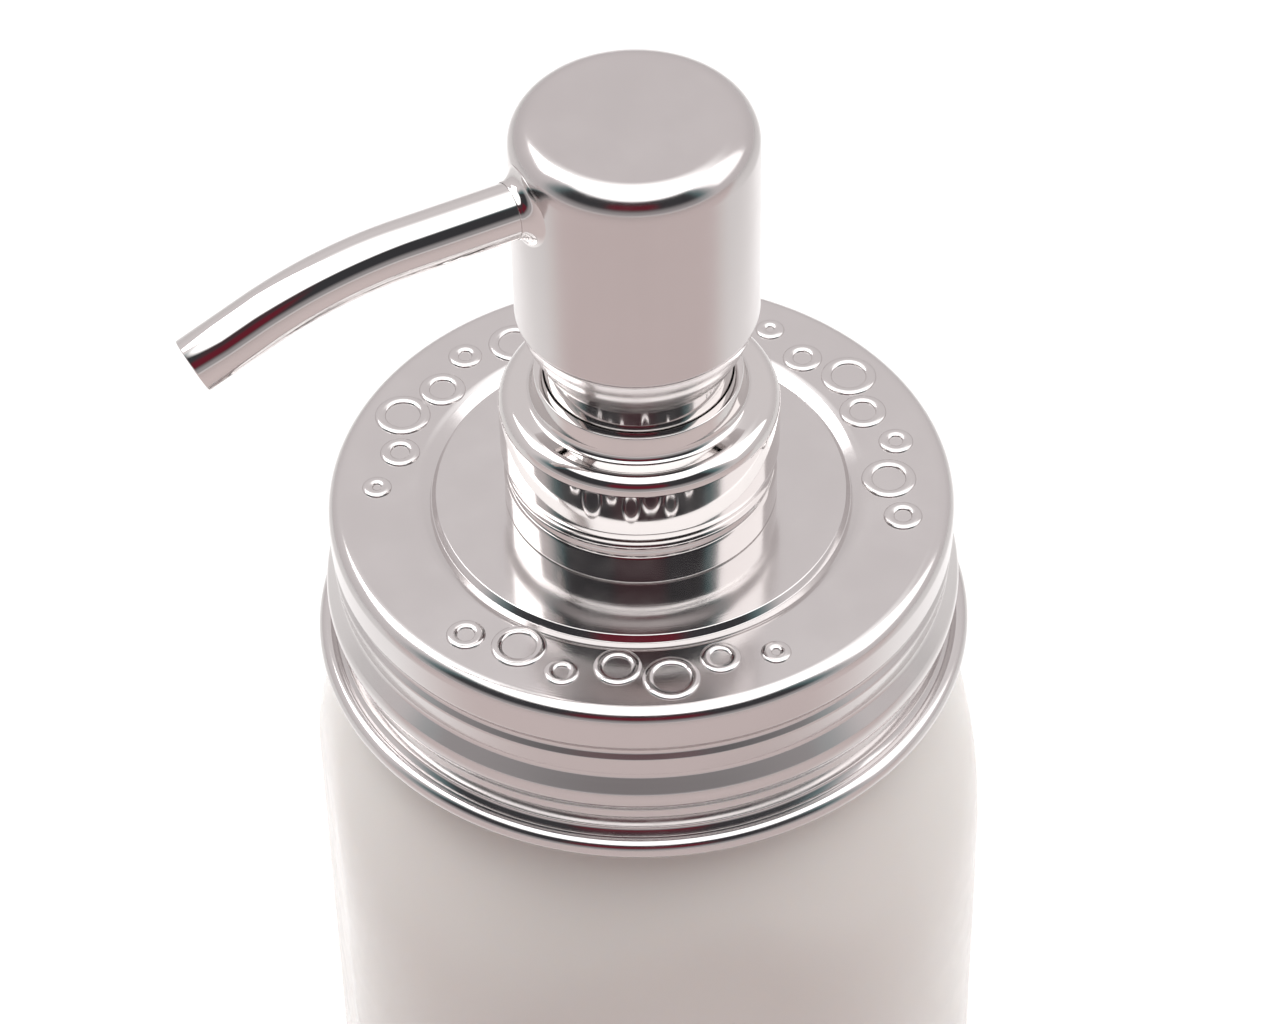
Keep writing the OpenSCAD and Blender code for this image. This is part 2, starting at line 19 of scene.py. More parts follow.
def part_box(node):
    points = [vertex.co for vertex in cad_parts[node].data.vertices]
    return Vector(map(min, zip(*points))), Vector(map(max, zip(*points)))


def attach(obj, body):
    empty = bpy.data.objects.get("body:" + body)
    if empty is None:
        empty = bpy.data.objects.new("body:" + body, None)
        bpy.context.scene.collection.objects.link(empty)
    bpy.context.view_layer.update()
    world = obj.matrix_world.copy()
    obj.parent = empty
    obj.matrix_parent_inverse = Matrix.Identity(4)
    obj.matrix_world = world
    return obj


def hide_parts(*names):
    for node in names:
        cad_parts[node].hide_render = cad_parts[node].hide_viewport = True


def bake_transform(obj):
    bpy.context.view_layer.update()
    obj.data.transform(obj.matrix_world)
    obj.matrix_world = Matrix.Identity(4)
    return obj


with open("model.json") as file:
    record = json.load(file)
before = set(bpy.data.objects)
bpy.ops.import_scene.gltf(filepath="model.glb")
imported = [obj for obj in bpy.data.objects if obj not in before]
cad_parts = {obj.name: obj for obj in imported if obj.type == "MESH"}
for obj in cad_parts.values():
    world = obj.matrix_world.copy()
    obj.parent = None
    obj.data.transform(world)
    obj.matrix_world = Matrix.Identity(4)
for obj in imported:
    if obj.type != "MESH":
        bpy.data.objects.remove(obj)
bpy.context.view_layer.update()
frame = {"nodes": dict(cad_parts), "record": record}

MM = 0.001

# %% [markdown]
# ## Sizes from the frame
# A piece that is a millimetre off shows as a gap or a clash when the head moves. So no height or radius that
# the CAD model fixes is typed in again: each is read from the box of the node that it belongs to. The shapes
# below are drawn in millimetres, which keeps the numbers readable, and are scaled to metres when they are done.

# %% Read the levels and radii
def bottom(node):
    """Lowest level of a node, in millimetres."""
    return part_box(node)[0][2] / MM


def top(node):
    """Highest level of a node, in millimetres."""
    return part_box(node)[1][2] / MM


def radius(node):
    """Half of a node's width along X, in millimetres."""
    low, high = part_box(node)
    return (high[0] - low[0]) / 2 / MM


z_lid = bottom("collar_shell")
z_lip = top("collar_shell")
z_jar = top("jar")
z_head = bottom("head_skirt")
z_body = bottom("head_shell")
z_top = top("head_shell")
head_r = radius("head_shell")
sleeve_r = radius("guide_sleeve")
spout_r = radius("spout_tube")
z_spout = (bottom("spout_ferrule") + top("spout_ferrule")) / 2
print("lid", round(z_lid, 1), "head", round(z_head, 1), "to", round(z_top, 1), "spout", round(z_spout, 1))

# %% [markdown]
# ## The camera
# A product like this is looked at from above at about 45 degrees, through a long lens that keeps the circles
# even. The camera could be aimed with a Track To constraint. It is turned by a matrix here, because that also
# takes the slight roll of a hand-held shot.

# %% Place the camera
VIEW_TURN = math.radians(64)
CAMERA_BACK = 372.4
CAMERA_UP = 368.7
AIM = Vector((-0.16, 0, -4.12))
ROLL = math.radians(-1.17)

turn = Matrix.Rotation(VIEW_TURN, 4, "Z")
lid_level = Vector((0, 0, z_lid))
camera_at = (turn @ Vector((0, -CAMERA_BACK, CAMERA_UP)) + lid_level) * MM
aim_at = (turn @ AIM + lid_level) * MM
lens = bpy.data.cameras.new("camera")
lens.lens = 130.2
lens.sensor_width = 36
camera = bpy.data.objects.new("camera", lens)
look = (aim_at - camera_at).to_track_quat("-Z", "Y") @ Quaternion((0, 0, 1), ROLL)
camera.matrix_world = Matrix.Translation(camera_at) @ look.to_matrix().to_4x4()
bpy.context.scene.collection.objects.link(camera)
bpy.context.scene.camera = camera
bpy.context.scene.view_settings.view_transform = "Standard"
print("camera", [round(v, 3) for v in camera_at])

# %% [markdown]
# ## The studio
# Polished steel has almost no colour of its own: it shows the room. A plain white room would leave it looking
# like grey plastic, so the sky is a soft studio with three parts. There is a bright softbox overhead, a light
# grey wall all round, and a dark patch on the viewer's side, where the person with the camera stands. The patch
# gives each rounded edge its dark line. It could be a black card, but a card would show in other views, so it
# is part of the world's own shading. The floor is a pale sheet, which comes first. Upright walls mirror the part
# of it that lies in front and at the sides, so there shade is painted into its colour: it is a little darker and
# warmer.

# %% Make the floor
FLOOR_SIZE = 6.0

floor_mesh = bpy.data.meshes.new("floor")
bm = bmesh.new()
bmesh.ops.create_grid(bm, x_segments=8, y_segments=8, size=FLOOR_SIZE / 2)
bm.to_mesh(floor_mesh)
bm.free()
floor = bpy.data.objects.new("floor", floor_mesh)
floor.location = (0, 0, -0.0002)
bpy.context.scene.collection.objects.link(floor)
print("floor", FLOOR_SIZE, "m wide")

# %% [markdown]
# ## Helpers for materials
# A material is a small graph of nodes. Two helpers keep each graph short: one adds a node and fills its
# sockets, and one reads a pattern from the object's own coordinates, so that the pattern stays on the piece
# when the piece moves.

# %% Helpers for nodes
def add(tree, kind, settings=None, **inputs):
    """Add a node; an input is a value or another node's output. N0, N1 and N2 are the numbered inputs."""
    made = tree.nodes.new(kind)
    for key, value in (settings or {}).items():
        setattr(made, key, value)
    for key, value in inputs.items():
        numbered = key[0] == "N" and key[1:].isdigit()
        socket = made.inputs[int(key[1:])] if numbered else made.inputs[key.replace("_", " ")]
        if isinstance(value, bpy.types.NodeSocket):
            tree.links.new(value, socket)
        else:
            socket.default_value = value
    return made


def math_node(tree, operation, a, b=0.0, clamp=False):
    """One Math node's result."""
    return add(tree, "ShaderNodeMath", {"operation": operation, "use_clamp": clamp}, N0=a, N1=b).outputs[0]


def distance_along(tree, place, direction):
    """How far a place lies along a direction, which is a dot product."""
    return add(tree, "ShaderNodeVectorMath", {"operation": "DOT_PRODUCT"}, N0=place,
               N1=tuple(direction)).outputs["Value"]


def ramp(tree, value, low, high, to_low=0.0, to_high=1.0):
    """A smooth step from to_low to to_high as value goes from low to high."""
    step = add(tree, "ShaderNodeMapRange", {"interpolation_type": "SMOOTHSTEP"}, Value=value,
               From_Min=low, From_Max=high, To_Min=to_low, To_Max=to_high)
    return step.outputs["Result"]


def blend_colour(tree, share, a, b):
    """Mix two colours by share."""
    made = add(tree, "ShaderNodeMix", {"data_type": "RGBA"}, Factor=share)
    for socket, value in ((made.inputs[6], a), (made.inputs[7], b)):
        if isinstance(value, bpy.types.NodeSocket):
            tree.links.new(value, socket)
        else:
            socket.default_value = (*value, 1.0)
    return made.outputs[2]


def new_material(name):
    """A material, its tree, its Principled shader and its object coordinates."""
    made = bpy.data.materials.new(name)
    made.use_nodes = True
    tree = made.node_tree
    place = add(tree, "ShaderNodeTexCoord").outputs["Object"]
    return made, tree, tree.nodes["Principled BSDF"], place


def noise(tree, place, size_mm, detail=3.0, stretch=(1, 1, 1), roughness=0.5):
    """Noise from 0 to 1 whose features are about size_mm wide."""
    scaled = add(tree, "ShaderNodeMapping", Vector=place, Scale=stretch).outputs[0]
    made = add(tree, "ShaderNodeTexNoise", Vector=scaled, Scale=1 / (size_mm * MM), Detail=detail,
               Roughness=roughness)
    return made.outputs["Fac"]


def bump(tree, height, strength, depth_mm, normal=None):
    """A bump from a height pattern, on top of another bump where one is given."""
    made = add(tree, "ShaderNodeBump", Strength=strength, Distance=depth_mm * MM, Height=height)
    if normal is not None:
        tree.links.new(normal, made.inputs["Normal"])
    return made.outputs["Normal"]


# %% [markdown]
# ## The floor's finish
# Studio paper is matt, with a faint mottle. The darker, warmer paper in front and at the sides is painted shade.
# Its shades could be three sheets laid side by side, but their edges would be mirrored as hard lines. Here one
# sheet blends from pale to painted shade: a dot product with a direction measures how far a point lies towards
# the viewer or to the side, and a smooth ramp turns that into a share.

# %% Finish the floor
PAPER_PALE = (0.88, 0.875, 0.87), (0.92, 0.915, 0.91)
# Painted shade: the paper towards the viewer and at the sides is darker, and warmer in front.
PAPER_SHADED_NEAR = (0.58, 0.505, 0.495), (0.62, 0.54, 0.53)
PAPER_SHADED_BESIDE = (0.70, 0.695, 0.69)
NEAR_SHADE_FROM_TO = -0.02, 0.09
BESIDE_SHADE_FROM_TO = 0.115, 0.22

floor_paint, tree, shader, place = new_material("studio_floor")
toward = turn @ Vector((0, -1, 0))
across = turn @ Vector((1, 0, 0))
mottle = noise(tree, place, 60, 4)
pale = blend_colour(tree, mottle, *PAPER_PALE)
near = blend_colour(tree, mottle, *PAPER_SHADED_NEAR)
ahead = distance_along(tree, place, toward)
sideways = math_node(tree, "ABSOLUTE", distance_along(tree, place, across))
# Paint the shade at the sides, and then the shade towards the viewer, into the paper's colour.
pale = blend_colour(tree, ramp(tree, sideways, *BESIDE_SHADE_FROM_TO), pale, PAPER_SHADED_BESIDE)
paper = blend_colour(tree, ramp(tree, ahead, *NEAR_SHADE_FROM_TO), pale, near)
tree.links.new(paper, shader.inputs["Base Color"])
shader.inputs["Roughness"].default_value = 0.9
floor.data.materials.append(floor_paint)
print("floor finish:", floor_paint.name)

# %% [markdown]
# ## The sky
# The world's colour is a function of the heading: its height above the horizon and its azimuth, where 0 is the
# viewer and minus is the viewer's left, all in degrees. An image of a studio would do the same, but no number
# in it could be changed. Each pair below is where a smooth ramp starts and where it ends.

# %% Light the studio
WALL_LIGHT = 0.84
SOFTBOX_LIGHT = 2.1
SHADE_LIGHT = 0.05
WALL_TINT = (1.0, 0.95, 0.955)
RED_CLOTH = (0.165, 0.02, 0.034)
TEAL_CLOTH = (0.12, 0.20, 0.21)

SOFTBOX_FRONT = 50, 57
SOFTBOX_BACK = 46, 68
WALL_FOOT = 5, 35
PATCH_SHIFT = 7
PATCH_SIDES = 82, 64
PATCH_FOOT = 0, 4
PATCH_DEPTH = 8, 24
RED_LEFT = -29, -19
RED_RIGHT = 24, 14
RED_TOP = 44, 34
RED_FOOT = 13, 27
TEAL_SIDES = 58, 66

world = bpy.data.worlds.new("studio")
bpy.context.scene.world = world
world.use_nodes = True
tree = world.node_tree
sky = tree.nodes["Background"]
heading = add(tree, "ShaderNodeTexCoord").outputs["Generated"]
upward = math_node(tree, "ARCSINE", distance_along(tree, heading, (0, 0, 1)))
height = math_node(tree, "MULTIPLY", upward, 180 / math.pi)
sideways = math_node(tree, "ARCTAN2", distance_along(tree, heading, across), distance_along(tree, heading, toward))
azimuth = math_node(tree, "MULTIPLY", sideways, 180 / math.pi)
side = math_node(tree, "ABSOLUTE", math_node(tree, "ADD", azimuth, PATCH_SHIFT))

# %% Paint the wall, the dark patch and the softbox
near_viewer = ramp(tree, side, *PATCH_SIDES)
softbox = add(tree, "ShaderNodeMix", Factor=near_viewer, N2=ramp(tree, height, *SOFTBOX_BACK),
              N3=ramp(tree, height, *SOFTBOX_FRONT)).outputs[0]
above_table = math_node(tree, "MULTIPLY", ramp(tree, height, *PATCH_FOOT), ramp(tree, height, *PATCH_DEPTH, 0.5, 1.0))
shade = math_node(tree, "MULTIPLY", near_viewer, above_table)
wall = ramp(tree, height, *WALL_FOOT, WALL_LIGHT * 0.9, WALL_LIGHT)
grey = blend_colour(tree, wall, (0, 0, 0), WALL_TINT)

red_share = math_node(tree, "MULTIPLY", ramp(tree, azimuth, *RED_LEFT), ramp(tree, azimuth, *RED_RIGHT))
red_share = math_node(tree, "MULTIPLY", red_share, ramp(tree, height, *RED_TOP, 0.2, 1.0))
red_share = math_node(tree, "MULTIPLY", red_share, ramp(tree, height, *RED_FOOT))
dark = blend_colour(tree, red_share, (SHADE_LIGHT, SHADE_LIGHT, SHADE_LIGHT * 1.1), RED_CLOTH)
dark = blend_colour(tree, ramp(tree, side, *TEAL_SIDES), dark, TEAL_CLOTH)
room = blend_colour(tree, shade, grey, dark)
lit = blend_colour(tree, softbox, room, (SOFTBOX_LIGHT, SOFTBOX_LIGHT, SOFTBOX_LIGHT))
tree.links.new(lit, sky.inputs["Color"])
sky.inputs["Strength"].default_value = 1.0
print("softbox", SOFTBOX_LIGHT, "wall", WALL_LIGHT, "shade", SHADE_LIGHT)


# %% Hang two soft lamps
def area_light(name, place_mm, size, power, aim_mm=(0, 0, 100)):
    """A soft square light that faces the object."""
    lamp = bpy.data.lights.new(name, "AREA")
    lamp.size = size
    lamp.energy = power
    made = bpy.data.objects.new(name, lamp)
    at = turn @ Vector(place_mm) * MM
    facing = (Vector(aim_mm) * MM - at).to_track_quat("-Z", "Y")
    made.matrix_world = Matrix.Translation(at) @ facing.to_matrix().to_4x4()
    bpy.context.scene.collection.objects.link(made)
    print(name, "lamp of", power, "watts")


area_light("key", (-500, 260, 900), 0.5, 2.4)
area_light("fill", (620, 60, 700), 0.6, 1.2)

# %% [markdown]
# ## Turning an outline
# A pressed or spun shell is round about one axis. Its outline is a short list of (radius, height) points. A
# third number is how far from the corner its rounding starts, because no sheet has a knife edge: a vertex
# bevel turns the corner into an arc before the outline is spun. Broad flats beside small arcs shade badly,
# because a vertex normal is shared, so a Weighted Normal modifier lets the larger face decide.

# %% Helpers for turned shapes
STEPS = 192
ARC_PARTS = 4
pieces = []


def arc(r, z, size, start, stop, parts=10):
    """Outline points round an arc about (r, z)."""
    angles = [math.radians(start + (stop - start) * i / parts) for i in range(parts + 1)]
    return [(r + size * math.cos(a), z + size * math.sin(a)) for a in angles]


def wire(bm, points, closed):
    """Draw the outline in the XZ plane and round the corners that ask for it."""
    verts = [bm.verts.new((p[0], 0, p[1])) for p in points]
    ends = verts[1:] + verts[:1] if closed else verts[1:]
    for a, b in zip(verts, ends):
        bm.edges.new((a, b))
    for vert, point in zip(verts, points):
        if len(point) > 2:
            bmesh.ops.bevel(bm, geom=[vert], offset=point[2], offset_type="OFFSET", segments=ARC_PARTS,
                            profile=0.5, affect="VERTICES", clamp_overlap=True, material=-1)


def turned(points, closed=True, steps=STEPS):
    """Spin an outline right round the axis. The two ends of an open one lie on the axis."""
    bm = bmesh.new()
    wire(bm, points, closed)
    bmesh.ops.spin(bm, geom=bm.verts[:] + bm.edges[:], cent=(0, 0, 0), axis=(0, 0, 1), dvec=(0, 0, 0),
                   angle=2 * math.pi, steps=steps, use_merge=True, use_normal_flip=False,
                   use_duplicate=False)
    bmesh.ops.remove_doubles(bm, verts=bm.verts[:], dist=0.0005)
    bmesh.ops.recalc_face_normals(bm, faces=bm.faces[:])
    return bm


def helix(bm, points, r_mid, z_start, turns, pitch, steps):
    """Sweep a closed outline, drawn about (0, 0), round the axis while it climbs. Returns the new vertices."""
    first = len(bm.verts)
    verts = [bm.verts.new((r_mid + x, 0, z_start + z)) for x, z in points]
    edges = [bm.edges.new((a, b)) for a, b in zip(verts, verts[1:] + verts[:1])]
    bmesh.ops.contextual_create(bm, geom=edges)
    count = int(steps * turns)
    done = bmesh.ops.spin(bm, geom=verts + edges, cent=(0, 0, 0), axis=(0, 0, 1),
                          dvec=(0, 0, pitch / steps), angle=math.radians(360 * turns), steps=count,
                          use_merge=False, use_normal_flip=False, use_duplicate=False)
    last = [g for g in done["geom_last"] if isinstance(g, bmesh.types.BMEdge)]
    bmesh.ops.contextual_create(bm, geom=last)
    bm.verts.ensure_lookup_table()
    return bm.verts[first:]


def piece(name, bm, body, node, slot, sharp=40, weighted=True):
    """Turn a finished bmesh into an object in metres that rides on a body and stands for a node.

    A piece that stretches between two bodies is given no body here.
    """
    bmesh.ops.scale(bm, vec=(MM, MM, MM), verts=bm.verts[:])
    mesh = bpy.data.meshes.new(name)
    bm.to_mesh(mesh)
    bm.free()
    mesh.shade_smooth()
    mesh.set_sharp_from_angle(angle=math.radians(sharp))
    made = bpy.data.objects.new(name, mesh)
    bpy.context.scene.collection.objects.link(made)
    if weighted:
        made.modifiers.new("even_flats", "WEIGHTED_NORMAL").keep_sharp = True
    if body:
        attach(made, body)
    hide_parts(node)
    pieces.append((made, slot))
    print(f"{name}: {len(mesh.polygons)} faces")
    return made


# %% [markdown]
# ## The jar
# A preserving jar is blown in a mould: a body with four flattened sides, a long shoulder, a round mouth with a
# thread, and a foot ring with the base pushed up inside it. It could be a subdivided box with a cylinder
# bridged onto it. Turning the profile first keeps the mouth perfectly round, and then the four flats are
# pressed in, as if with a plate: a vertex outside a flat is drawn back to it, with a soft edge to the shoulder.
# The outer and the inner skin are pressed one at a time and then joined at the rim, so that the wall stays even.

# %% Turn the jar's profile
JAR_WALL = 3.2
JAR_FLOOR = 5.0
JAR_CORNER = 30.0
JAR_TURN = math.radians(-16)
SHOULDER_HIGH = 31.5
MOUTH_HIGH = 20.4
PRESS_SOFT = 1.6

jar_low, jar_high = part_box("jar")
spread = math.cos(abs(JAR_TURN)) + math.sin(abs(JAR_TURN))
jar_half = (radius("jar") - JAR_CORNER) / spread + JAR_CORNER
body_r = (jar_half - JAR_CORNER) * math.sqrt(2) + JAR_CORNER
z_mouth = z_jar - MOUTH_HIGH
z_shoulder = z_mouth - SHOULDER_HIGH
mouth_r = 32.9
mouth_in_r = 29.5
print("jar: half width", round(jar_half, 2), "mouth at", round(z_mouth, 1), "shoulder at", round(z_shoulder, 1))


def shoulder(r_body, r_mouth, parts=22):
    """The shoulder's curve, which leaves the body upright and flattens towards the mouth."""
    shares = [i / parts for i in range(parts + 1)]
    return [(r_mouth + (r_body - r_mouth) * math.cos(math.pi / 2 * t), z_shoulder + SHOULDER_HIGH * t)
            for t in shares]


def upright(r, z_from, z_to, parts):
    """Points up a straight wall, so that the flats bend smoothly."""
    return [(r, z_from + (z_to - z_from) * i / parts) for i in range(1, parts)]


FOOT = 6.0
PUSH_UP = 1.6
outer = [(0, PUSH_UP), (14, PUSH_UP - 0.1), (24, 0.8), (27.5, 0.25), (29.5, 0.05)]
outer += arc(body_r - FOOT, FOOT, FOOT, -90, 0, 12) + upright(body_r, FOOT, z_shoulder, 14)
outer += shoulder(body_r, mouth_r)
outer += arc(mouth_r + 0.2, z_mouth + 2.3, 0.9, -80, 80, 8)
outer += [(mouth_r, z_mouth + 4), (mouth_r, z_jar - 1.2)] + arc(mouth_r - 1.1, z_jar - 1.1, 1.1, 0, 90, 6)
rim = arc(mouth_in_r + 0.9, z_jar - 0.9, 0.9, 90, 180, 5)
inner = [(mouth_in_r, z_mouth + 3)] + shoulder(body_r - JAR_WALL, mouth_in_r)[::-1]
inner += upright(body_r - JAR_WALL, z_shoulder, JAR_FLOOR + FOOT, 10)
inner += arc(body_r - JAR_WALL - FOOT, JAR_FLOOR + FOOT, FOOT, 0, -90, 8) + [(12, JAR_FLOOR), (0, JAR_FLOOR)]
print("outline points:", len(outer) + len(rim) + len(inner))

# %% Press the flats
def flat_reach(angle, half, corner):
    """Distance from the axis to the outline of a square with round corners."""
    c, s = abs(math.cos(angle)), abs(math.sin(angle))
    mid = half - corner
    if min(c, s) * half / max(c, s) <= mid:
        return half / max(c, s)
    return mid * (c + s) + math.sqrt(corner ** 2 - (mid * (c - s)) ** 2)


def soft_least(a, b, soft):
    """The smaller of two lengths, rounded off where they are nearly equal."""
    share = min(max(0.5 + 0.5 * (b - a) / soft, 0), 1)
    return b + (a - b) * share - soft * share * (1 - share)


def pressed(points, half, corner):
    """Turn a skin of the jar, from the axis to the rim, and press its four flats."""
    bm = turned(points, closed=False, steps=256)
    for vert in bm.verts:
        far = math.hypot(vert.co.x, vert.co.y)
        if far > mouth_r + 2:
            reach = flat_reach(math.atan2(vert.co.y, vert.co.x) - JAR_TURN, half, corner)
            share = soft_least(far, reach, PRESS_SOFT) / far
            vert.co.x *= share
            vert.co.y *= share
    return bm


def join(bm, other):
    """Add another bmesh's shape to bm, and free it."""
    carrier = bpy.data.meshes.new("carrier")
    other.to_mesh(carrier)
    other.free()
    bm.from_mesh(carrier)
    bpy.data.meshes.remove(carrier)


bm = pressed(outer + rim, jar_half, JAR_CORNER)
join(bm, pressed(rim[-1:] + inner, jar_half - JAR_WALL, JAR_CORNER - JAR_WALL))
bmesh.ops.remove_doubles(bm, verts=bm.verts[:], dist=0.0005)
print("jar before its thread:", len(bm.faces), "faces")

# %% [markdown]
# The thread is a single rib that climbs round the mouth for a little over one turn. A Screw modifier could
# wind it, but both its ends would stop dead. Here it is spun with a rise, and then each vertex near an end is
# drawn in towards the glass, so that the rib grows out of the mouth and sinks back into it.

# %% Wind the thread round the mouth
THREAD_PITCH = 6.35
THREAD_TURNS = 1.15
THREAD_ROOT = 0.9
RUN_IN = 0.10
thread_section = [(-THREAD_ROOT, -1.6), (0.1, -1.2), (0.75, -0.55), (0.95, 0), (0.75, 0.55), (0.1, 1.2),
                  (-THREAD_ROOT, 1.6)]
thread_start = z_jar - 11.2
thread = helix(bm, thread_section, mouth_r, thread_start, THREAD_TURNS, THREAD_PITCH, 120)
for vert in thread:
    middle = (vert.co.z - thread_start) / (THREAD_PITCH * THREAD_TURNS)
    fade = min(1, max(0, min(middle, 1 - middle)) / RUN_IN + 0.15)
    far = math.hypot(vert.co.x, vert.co.y)
    share = (mouth_r - THREAD_ROOT + (far - mouth_r + THREAD_ROOT) * fade) / far
    vert.co.x *= share
    vert.co.y *= share
bmesh.ops.recalc_face_normals(bm, faces=bm.faces[:])
piece("glass_jar", bm, "jar_body", "jar", "jar_glass", sharp=60, weighted=False)

# %% [markdown]
# ## The lid
# The lid is one pressing: a flat top with a ring line, a rounded edge, a skirt with a grip groove and a rib,
# and a lower edge rolled over a hidden wire of its own metal. The ring line is a steep step down that rises
# gently again, because only a steep slope mirrors the dark side of the room. The raised rings on top stand for
# soap bubbles. They could be bump in the material, but then an edge view would show a flat lid.

# %% Turn the lid
LID_SHEET = 0.8
LID_EDGE = 1.9
BEAD = 1.3
LINE_DEEP = 0.76
GRIP_DEEP = 0.7
RIB_OUT = 0.9

bead_out = radius("lid")
lid_r = bead_out - 2.16
z_bead = bottom("lid") + BEAD
low_r = lid_r - 0.3
bead_mid = bead_out - BEAD
line_r = 23.4
hole_r = 11.4
z_grip = z_lid - 6.3
z_rib = z_lid - 13.0
z_step = z_lid - 16.6

lid_outline = [(hole_r, z_lid, 0.15), (line_r - 0.2, z_lid, 0.08), (line_r + 0.33, z_lid - LINE_DEEP, 0.08),
               (line_r + 1.9, z_lid, 0.5)]
lid_outline += arc(lid_r - LID_EDGE, z_lid - LID_EDGE, LID_EDGE, 90, 0, 14)
lid_outline += [(lid_r, z_grip + 1.25, 0.4), (lid_r - GRIP_DEEP, z_grip + 0.45, 0.3),
                (lid_r - GRIP_DEEP, z_grip - 0.1, 0.2), (lid_r - 0.15, z_grip - 0.9, 0.2),
                (lid_r - 0.5, z_rib + 3.0, 0.3), (lid_r + 0.75, z_rib + 1.0, 0.3), (lid_r + RIB_OUT, z_rib, 0.5),
                (lid_r + 0.6, z_rib - 1.1, 0.3), (lid_r, z_rib - 2.0, 0.3)]
lid_outline += [(lid_r, z_step + 0.35, 0.15), (low_r, z_step, 0.15), (low_r, z_bead + 1.6, 0.3)]
lid_outline += arc(bead_mid, z_bead, BEAD, 120, -90, 20)
lid_outline += [(low_r - 0.35, z_bead - 0.8, 0.2), (low_r - LID_SHEET, z_bead, 0.2),
                (low_r - LID_SHEET, z_step, 0.2), (lid_r - LID_SHEET, z_step + 0.5, 0.2),
                (lid_r - LID_SHEET, z_grip - 1.7, 0.3), (lid_r - 0.55 - LID_SHEET, z_grip - 0.6, 0.3),
                (lid_r - 0.55 - LID_SHEET, z_grip + 0.7, 0.3), (lid_r - LID_SHEET, z_grip + 1.5, 0.3)]
lid_outline += arc(lid_r - LID_EDGE, z_lid - LID_EDGE, LID_EDGE - LID_SHEET, 0, 90, 8)
lid_outline += [(line_r + 2.1, z_lid - LID_SHEET, 0.3), (line_r + 0.4, z_lid - LINE_DEEP - LID_SHEET / 2, 0.2),
                (line_r - 0.5, z_lid - LID_SHEET, 0.2), (hole_r, z_lid - LID_SHEET, 0.15)]
bm = turned(lid_outline, steps=256)
print("lid before its rings:", len(bm.faces), "faces, line at", line_r, "grip at", round(z_grip, 1))

# %% Press the bubble rings
RELIEF = top("lid") - z_lid
GROUPS = 3
FIRST_GROUP = -32
BUBBLE_STEP = 11.6
band = lid_r - LID_EDGE - line_r
bubbles = [band * share for share in (0.215, 0.305, 0.195, 0.265, 0.315, 0.225, 0.165)]
LINE_HALF = 0.62
SUNK = 0.12


def bubble_ring(bm, x, y, size):
    """One raised ring: a low rounded bead that starts flush with the sheet."""
    angles = [math.pi * (1 - i / 10) for i in range(11)]
    points = [(size + LINE_HALF * math.cos(a), z_lid - 0.01 + RELIEF * math.sin(a)) for a in angles]
    points += [(size + LINE_HALF, z_lid - SUNK), (size - LINE_HALF, z_lid - SUNK)]
    verts = [bm.verts.new((x + px, y, pz)) for px, pz in points]
    edges = [bm.edges.new((a, b)) for a, b in zip(verts, verts[1:] + verts[:1])]
    bmesh.ops.spin(bm, geom=verts + edges, cent=(x, y, 0), axis=(0, 0, 1), dvec=(0, 0, 0),
                   angle=2 * math.pi, steps=48, use_merge=True, use_normal_flip=False, use_duplicate=False)


rings = bmesh.new()
for group in range(GROUPS):
    for i, size in enumerate(bubbles):
        angle = math.radians(FIRST_GROUP + 120 * group + (i - 3) * BUBBLE_STEP)
        reach = line_r + 0.53 * band + band * (0.108 if i % 2 == 0 else -0.069)
        bubble_ring(rings, reach * math.cos(angle), reach * math.sin(angle), size - LINE_HALF)
bmesh.ops.recalc_face_normals(rings, faces=rings.faces[:])
join(bm, rings)
piece("pressed_lid", bm, "lid_body", "lid", "lid_steel", sharp=50)

# %% [markdown]
# ## The collar and the sleeve
# The collar covers the plastic closure cap. It is spun from sheet over a former, which gives it soft steps:
# a foot, a bead, a waist, a wide belly, a dome and a narrow flat lip. The sleeve that the head slides on
# stands in its mouth. Both are mirror polished, so each corner's size matters: it sets how wide its highlight
# line is.

# %% Turn the collar
COLLAR_SHEET = 1.0
WIDE_OUT = 0.3
DOME = 1.95

collar_r = radius("collar_shell") - WIDE_OUT
z_cap = z_lip - 2.95
z_wide = z_lid + 7.5
dome_mid = collar_r + WIDE_OUT - DOME
lip_in = sleeve_r + 0.1
lip_out = lip_in + 1.05

collar_outline = [(collar_r - COLLAR_SHEET, z_lid, 0.1), (collar_r, z_lid, 0.25), (collar_r, z_lid + 4.2, 0.5),
                  (collar_r - 0.38, z_lid + 5.0, 0.3), (collar_r - 0.45, z_lid + 5.9, 0.4),
                  (collar_r + WIDE_OUT, z_wide, 0.6)]
collar_outline += arc(dome_mid, z_cap - DOME, DOME, 0, 90, 14)
collar_outline += [(lip_out + 0.75, z_cap + 0.05, 0.4), (lip_out + 0.35, z_cap + 0.7, 0.4),
                   (lip_out, z_lip - 0.3, 0.15), (lip_out - 0.12, z_lip, 0.1), (lip_in, z_lip, 0.12),
                   (lip_in, z_cap - 0.6), (dome_mid, z_cap - 0.6),
                   (collar_r - COLLAR_SHEET - 0.45, z_cap - 1.1, 0.3), (collar_r - COLLAR_SHEET, z_cap - 2, 0.3)]
piece("spun_collar", turned(collar_outline), "lid_body", "collar_shell", "polished_steel")

# %% Turn the sleeve
SLEEVE_SHEET = 0.6

z_sleeve_foot = bottom("guide_sleeve")
z_sleeve = top("guide_sleeve")
sleeve_outline = [(sleeve_r, z_sleeve_foot), (sleeve_r, z_sleeve, 0.25),
                  (sleeve_r - SLEEVE_SHEET, z_sleeve, 0.15), (sleeve_r - SLEEVE_SHEET, z_sleeve_foot)]
piece("guide_sleeve_tube", turned(sleeve_outline), "lid_body", "guide_sleeve", "polished_steel")

